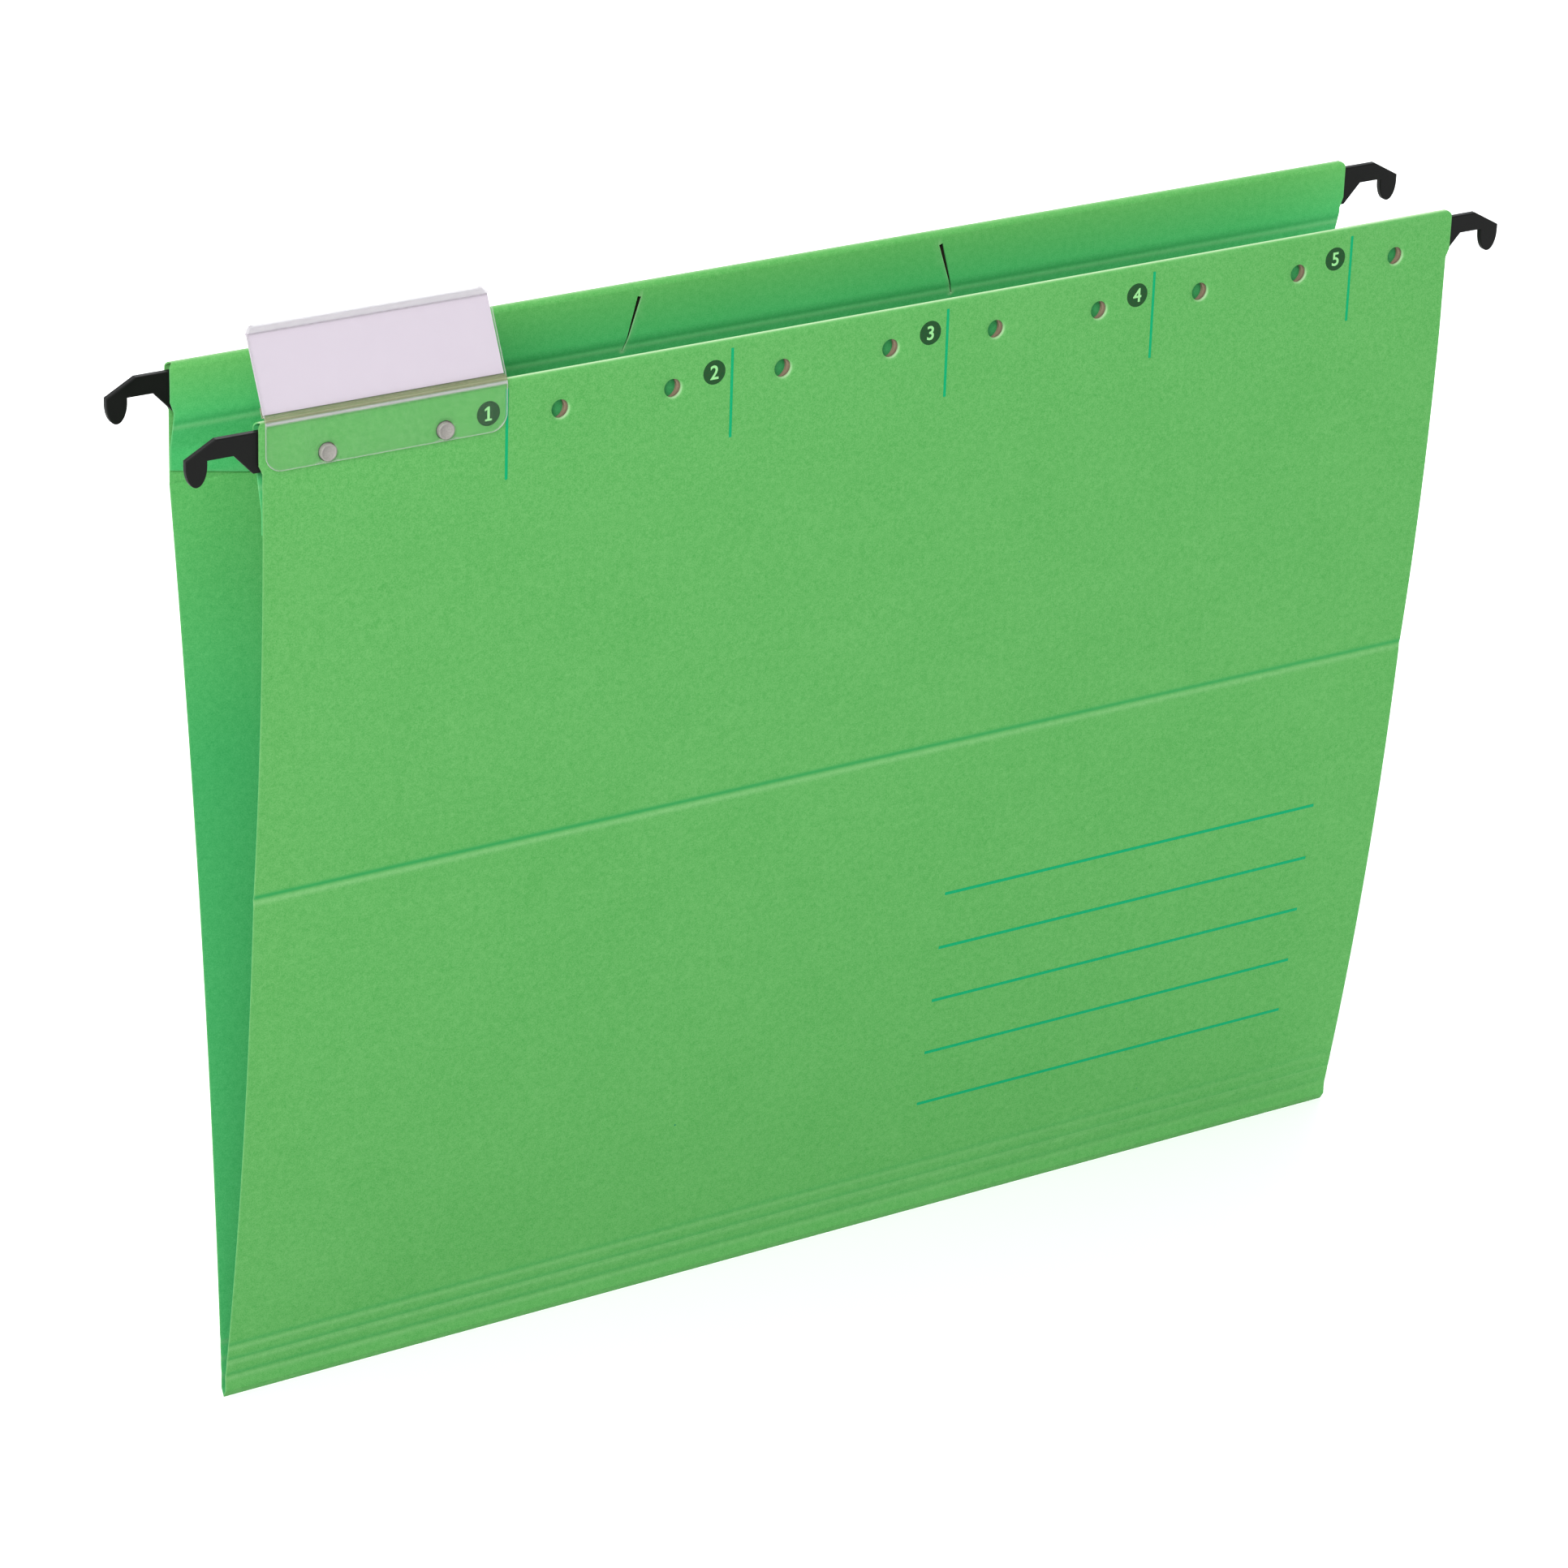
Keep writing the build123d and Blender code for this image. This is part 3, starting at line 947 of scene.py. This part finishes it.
# Index tab
# One thin moulding of clear plastic: a skirt with two pegs, a film hinge and a window turned over at the
# top. The pegs push through the first two holes of the cover and the strip, so the tab can be moved along
# the row.
tab_thickness = 0.0006
tab_edge_round = 0.00035
tab_edge_left = 0.2
tab_ease = 0.0002
skirt_corner = 0.004
window_lean = radians(26)
window_height = 0.0216
window_corner = 0.0025
corner_squeeze = 0.9
lip_gap = 0.00075
lip_thickness = 0.0005
top_lip = 0.0045
foot_height = 0.0015
foot_thickness = 0.0004
foot_lip = 0.002
film_thickness = 0.00022
film_half = 0.0003
film_flat = 0.6
rim_haze_and_reflection = 0.9
roll_haze_and_reflection = 0.8
roll_points = 30
peg_radius = 0.00195

tab_low, tab_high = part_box("tab_skirt")
tab_hinge = joint_at["tab_tilt"]
tab_half = (tab_high.x - tab_low.x) / 2
tab_middle = (tab_high.x + tab_low.x) / 2
roll_radius = (lip_gap + tab_thickness) / 2
roll_height = window_height - roll_radius - tab_thickness / 2
lean = np.array([-sin(window_lean), cos(window_lean)])
behind = np.array([-cos(window_lean), -sin(window_lean)])
hinge = np.array([-tab_hinge.y, tab_hinge.z])
roll_centre = hinge + lean * roll_height + behind * roll_radius
roll_turn = np.linspace(0, pi, roll_points)[:, None]
tab_section = BentSheet(
    [
        [(hinge[0], tab_low.z), tuple(hinge)],
        roll_centre - behind * roll_radius * np.cos(roll_turn) + lean * roll_radius * np.sin(roll_turn),
        [tuple(roll_centre + behind * roll_radius - lean * (top_lip - window_height + roll_height))],
    ],
    tab_ease,
)
hinge_v = hinge[1] - tab_low.z
peg_v = front_section.height(hole_v) - tab_low.z
peg_u = hole_u[:2] - tab_middle
tab_top_v = hinge_v + roll_height + roll_radius * pi / 2


def tab_half_width(v):
    """Outline of the flat tab: round corners at the foot of the skirt and either side of the top roll."""
    foot = np.clip(skirt_corner - v, 0, skirt_corner)
    half = tab_half - skirt_corner + np.sqrt(skirt_corner**2 - foot**2)
    near_top = np.clip(window_corner - np.abs(v - tab_top_v) * corner_squeeze, 0, window_corner)
    return half - window_corner + np.sqrt(window_corner**2 - near_top**2)


def tab_outer(u, v):
    """Outer face of the tab, rounded off along its edges and thinned at the film hinge."""
    corner_u = np.abs(u) - tab_half + skirt_corner
    corner_v = skirt_corner - v
    in_corner = (corner_u > 0) & (corner_v > 0)
    to_side = np.minimum(tab_half_width(v) - np.abs(u), v)
    to_edge = np.where(in_corner, skirt_corner - np.hypot(corner_u, corner_v), to_side)
    to_edge = np.clip(np.minimum(to_edge, tab_section.end - v) / tab_edge_round, 0, 1)
    round_off = np.sqrt(1 - (1 - to_edge) ** 2) * (1 - tab_edge_left) + tab_edge_left
    film = np.clip(np.abs(v - hinge_v) / film_half - film_flat, 0, 1)
    return round_off * (film_thickness + film * (tab_thickness - film_thickness)) / 2


def tab_inner(u, v):
    """Inner face of the tab."""
    return -tab_outer(u, v)


def tab_marks(u, v):
    """How much a place shows as a pale edge, its own haze and a painted reflection, on both faces: along the
    rim, at the hinge and over the roll.
    """
    rim = 1 - tab_outer(u, v) / (tab_thickness / 2)
    over_top = np.clip(1 - np.abs(v - tab_top_v) / (roll_radius * pi / 2), 0, 1)
    edge = np.clip(np.maximum(rim_haze_and_reflection * rim, roll_haze_and_reflection * over_top), 0, 1)
    return {"edge": (edge, edge)}


# Spacing of the tab's mesh: close at its edges, its hinge and its roll
edge_steps = np.array([0.0, 0.00006, 0.00014, 0.00025, 0.0004, 0.0006])
edge_band = 0.0009
tab_end_band = 0.0048
tab_middle_inset = 0.0055
tab_middle_columns = 24
tab_room = 0.00004
corner_rows = 10
panel_rows = 8
hinge_band = 0.0009
hinge_rows = 19
hinge_inset = 0.0015
foot_line = 0.00005
window_start = 0.0025
window_end = 0.001
roll_rows = 40
roll_reach = window_corner / corner_squeeze
tab_rows = np.concatenate([
    edge_steps,
    np.linspace(edge_band, skirt_corner, corner_rows),
    np.linspace(skirt_corner, hinge_v - hinge_inset, panel_rows)[1:],
    hinge_v + np.linspace(-hinge_band, hinge_band, hinge_rows),
    hinge_v + foot_height + np.array([-foot_line, foot_line]),
    np.linspace(hinge_v + window_start, tab_top_v - window_corner - window_end, panel_rows),
    np.linspace(tab_top_v - roll_reach, tab_top_v + roll_reach, roll_rows),
    tab_section.end - edge_steps[::-1],
])
tab_ends = tab_half - np.concatenate([edge_steps[1:], np.arange(edge_band, tab_end_band, end_step)])
tab_centre = np.linspace(-tab_half + tab_middle_inset, tab_half - tab_middle_inset, tab_middle_columns)
tab = bent_blank(
    "index_tab",
    tab_section,
    -1,
    tab_half_width,
    np.unique(tab_rows),
    np.concatenate([-tab_ends, tab_centre, tab_ends[::-1]]),
    [ring((u, peg_v), peg_radius) for u in peg_u],
    no_points,
    tab_outer,
    tab_inner,
    tab_marks,
    tab_room,
)
tab.data.transform(Matrix.Translation((tab_middle, 0, 0)))

# Lower lip of the window: a web behind its foot, turned up to hold the label's lower edge
lip_sink = 0.0001
lip_bevel = 0.0002
lip_inner_bevel = 0.0001
lip_end_inset = 0.0002
web_back = tab_thickness / 2 + lip_gap + lip_thickness
lip_front = web_back - lip_thickness
web_top = foot_height + foot_thickness
lip_top = foot_height + foot_thickness + foot_lip
lip_outline = [
    (lip_sink, foot_height),
    (web_back - lip_bevel, foot_height),
    (web_back, foot_height + lip_bevel),
    (web_back, lip_top - lip_bevel),
    (web_back - lip_bevel, lip_top),
    (lip_front + lip_inner_bevel, lip_top),
    (lip_front, lip_top - lip_bevel),
    (lip_front, web_top),
    (lip_sink, web_top),
]


def drawn_out(name, outline, x_low, x_high):
    """Bar with the given outline in the YZ plane, from one X to another."""
    count = len(outline)
    corners = [(x, *place) for x in (x_low, x_high) for place in outline]
    faces = [tuple(range(count - 1, -1, -1)), tuple(range(count, 2 * count))]
    faces += [(k, (k + 1) % count, (k + 1) % count + count, k + count) for k in range(count)]
    return new_object(name, new_mesh(name, corners, faces))


lip_places = [hinge + behind * back + lean * up for back, up in lip_outline]
lower_lip = drawn_out(
    "tab_lower_lip",
    [(-out, up) for out, up in lip_places],
    tab_low.x + lip_end_inset,
    tab_high.x - lip_end_inset,
)

# Pegs: dished in front, stepped down behind to pass the cover and then the strip
peg_points = 48
peg_round = 0.0001
peg_shoulder = 0.0011
peg_length = tab_high.y - tab_low.y
tip_radius = 0.0012
tip_round = 0.0002
dish_rim = 0.0005
dish_depth = 0.00015
dish_middle = 0.00012
rim_drop = 0.00004
peg_profile = [
    (0.0, dish_middle),
    (peg_radius - dish_rim, dish_depth),
    (peg_radius - dish_rim + peg_round, rim_drop),
    (peg_radius - dish_rim + 2 * peg_round, 0.0),
    (peg_radius - peg_round, 0.0),
    (peg_radius, peg_round),
    (peg_radius, peg_shoulder),
    (peg_radius - peg_round, peg_shoulder + 0.8 * peg_round),
    (tip_radius + 0.5 * peg_round, peg_shoulder + peg_round),
    (tip_radius, peg_shoulder + 2 * peg_round),
    (tip_radius, peg_length - tip_round),
    (tip_radius - tip_round, peg_length),
    (0.0, peg_length),
]


def turned_peg(name, x, z):
    """Peg turned from its profile about a line from front to back."""
    (_, front), *rings, (_, back) = peg_profile
    corners = []
    for radius, depth in rings:
        for turn in (2 * pi * k / peg_points for k in range(peg_points)):
            corners.append((x + radius * cos(turn), tab_low.y + depth, z + radius * sin(turn)))
    front_pole, back_pole = len(corners), len(corners) + 1
    last_ring = len(corners) - peg_points
    corners += [(x, tab_low.y + front, z), (x, tab_low.y + back, z)]
    faces = []
    for k in range(peg_points):
        after = (k + 1) % peg_points
        faces += [(front_pole, k, after), (back_pole, last_ring + after, last_ring + k)]
        for near in range(0, last_ring, peg_points):
            far = near + peg_points
            faces.append((near + after, near + k, far + k, far + after))
    return new_object(name, new_mesh(name, corners, faces, smooth=True))


peg_height = front_section.height(hole_v)
pegs = [turned_peg(f"tab_peg_{k}", u, peg_height) for k, u in enumerate(hole_u[:2], start=1)]

# Plastic of the tab: clear on its faces, paler where it is seen through its edge or rolled, from its own
# haze and a painted reflection, frosted pegs
clear_dim = (0.37, 0.355, 0.36)
clear_bright = (0.45, 0.43, 0.435)
lip_dim = (0.17, 0.165, 0.09)
lip_bright = (0.25, 0.23, 0.15)
roll_dim = (0.405, 0.380, 0.405)
roll_bright = (0.445, 0.420, 0.445)
frost_dim = (0.185, 0.172, 0.158)
frost_bright = (0.260, 0.242, 0.222)
clear_haze = 0.004
clear_haze_share = 0.02
clear_alpha_range = (-0.015, 1.2)
edge_haze = 0.003
frost_grain = 0.00035
frost_range = (0.3, 0.7)
frost_relief = 0.00004


def hazy_edge(name, dim, bright):
    """Plastic seen through its edge: hazy, and half see-through."""
    material, tree, shader = new_material(name)
    haze = noise(tree, object_place(tree), edge_haze, detail=3.0)
    colour_between(tree, shader, haze, dim, bright)
    shader.inputs["Roughness"].default_value = 0.2
    shader.inputs["Alpha"].default_value = 0.5
    return material


clear, tree, shader = new_material("clear_plastic")
haze = noise(tree, object_place(tree), clear_haze, detail=3.0)
colour_between(tree, shader, haze, clear_dim, clear_bright)
# The rims, hinge and roll show paler: the plastic's own haze and a painted reflection
haze_and_reflection = sum_of(tree, mark(tree, "edge"), haze, clear_haze_share)
tree.links.new(spread(tree, haze_and_reflection, *clear_alpha_range), shader.inputs["Alpha"])
shader.inputs["Roughness"].default_value = 0.15
shader.inputs["IOR"].default_value = 1.49
shader.inputs["Specular IOR Level"].default_value = 0.15
lip_plastic = hazy_edge("lip_plastic", lip_dim, lip_bright)
# The rolled top is pale: its own haze and a painted reflection
rolled = hazy_edge("rolled_plastic", roll_dim, roll_bright)
frosted, tree, shader = new_material("frosted_plastic")
grains = noise(tree, object_place(tree), frost_grain, detail=3.0, roughness=0.7)
colour_between(tree, shader, spread(tree, grains, *frost_range), frost_dim, frost_bright)
shader.inputs["Roughness"].default_value = 0.5
shader.inputs["Alpha"].default_value = 0.9
grain_bump(tree, shader, grains, frost_relief, 0.5)

web_start = 0.0004
roll_start = (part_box("label_card")[1].z - tab_hinge.z) / cos(window_lean)
for material in (clear, lip_plastic, rolled):
    tab.data.materials.append(material)
for face in tab.data.polygons:
    over_hinge = np.array([-face.center.y, face.center.z]) - hinge
    if web_start < over_hinge @ lean < foot_height and over_hinge @ behind < tab_thickness:
        face.material_index = 1
    if over_hinge @ lean > roll_start:
        face.material_index = 2
lower_lip.data.materials.append(lip_plastic)
for piece in pegs:
    piece.data.materials.append(frosted)
    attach(piece, "tab_skirt")
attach(lower_lip, "tab_window")
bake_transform(tab)
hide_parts("tab_skirt", "tab_window")

# Label
# A slip of smooth card, cut to the window and pushed in from the end behind it.
# The card is very pale lilac and has the faint clouding of office paper.
card_dim = (0.390, 0.342, 0.392)
card_bright = (0.413, 0.364, 0.415)
card_cloud = 0.004
card_grain = 0.0003
card_relief = 0.00001

card, tree, shader = new_material("label_card")
place = object_place(tree)
colour_between(tree, shader, noise(tree, place, card_cloud, detail=4.0), card_dim, card_bright)
shader.inputs["Roughness"].default_value = 0.7
grain_bump(tree, shader, noise(tree, place, card_grain), card_relief, 0.2)
refinish("label_card", card)

# Studio
# A pale seamless floor and an even white sky. One large soft light stands in front on the left, and two
# light the floor behind the folder.
floor_half = 6.0
floor_drop = 0.0001
floor_cloud = 0.25
floor_dim = (0.87, 0.87, 0.87)
floor_bright = (0.89, 0.89, 0.89)
sky_colour = (0.94, 1.0, 1.01, 1)
sky_strength = 0.64

floor_corners = ((-1, -1), (1, -1), (1, 1), (-1, 1))
floor_places = [(x * floor_half, y * floor_half, -floor_drop) for x, y in floor_corners]
floor = new_object("floor", new_mesh("floor", floor_places, [(0, 1, 2, 3)]))
pale, tree, shader = new_material("pale_floor")
cloud = noise(tree, object_place(tree), floor_cloud, detail=2.0)
colour_between(tree, shader, cloud, floor_dim, floor_bright)
shader.inputs["Roughness"].default_value = 0.9
shader.inputs["Specular IOR Level"].default_value = 0.1
floor.data.materials.append(pale)

world = bpy.data.worlds.new("studio")
bpy.context.scene.world = world
world.use_nodes = True
sky = world.node_tree.nodes["Background"]
sky.inputs["Color"].default_value = sky_colour
sky.inputs["Strength"].default_value = sky_strength


def soft_light(name, place, target, size, power):
    """Square soft box that looks at a point."""
    lamp = bpy.data.lights.new(name, "AREA")
    lamp.size = size
    lamp.energy = power
    light = new_object(name, lamp)
    light.location = place
    light.rotation_euler = (Vector(target) - Vector(place)).to_track_quat("-Z", "Y").to_euler()


soft_light("front_left", place=(-2.6, -2.6, 2.8), target=(0, 0, 0.1), size=2.4, power=280)
soft_light("near_floor", place=(0.5, 0.9, 1.5), target=(0.3, 0.3, 0), size=1.2, power=18)
soft_light("far_floor", place=(0.8, 2.6, 2.4), target=(0.7, 2.2, 0), size=2.4, power=60)

# Camera
# A long lens from the front left and above, turned a little about its own axis as in the photograph.
camera_azimuth = radians(-32.86)
camera_elevation = radians(24.03)
camera_roll = radians(2.008)
camera_distance = 1.35436
camera_target = Vector((-0.00671, 0.00518, 0.12160))
sensor_width = 36.0
lens_pixels = 7048.98
photo_pixels = 1932

away = Vector((
    sin(camera_azimuth) * cos(camera_elevation),
    -cos(camera_azimuth) * cos(camera_elevation),
    sin(camera_elevation),
))
view = bpy.data.cameras.new("camera")
view.sensor_width = sensor_width
view.lens = lens_pixels / photo_pixels * sensor_width
camera = new_object("camera", view)
facing = (-away).to_track_quat("-Z", "Y").to_matrix() @ Matrix.Rotation(camera_roll, 3, "Z")
camera.matrix_world = Matrix.Translation(camera_target + away * camera_distance) @ facing.to_4x4()
bpy.context.scene.camera = camera
bpy.context.scene.view_settings.view_transform = "Standard"
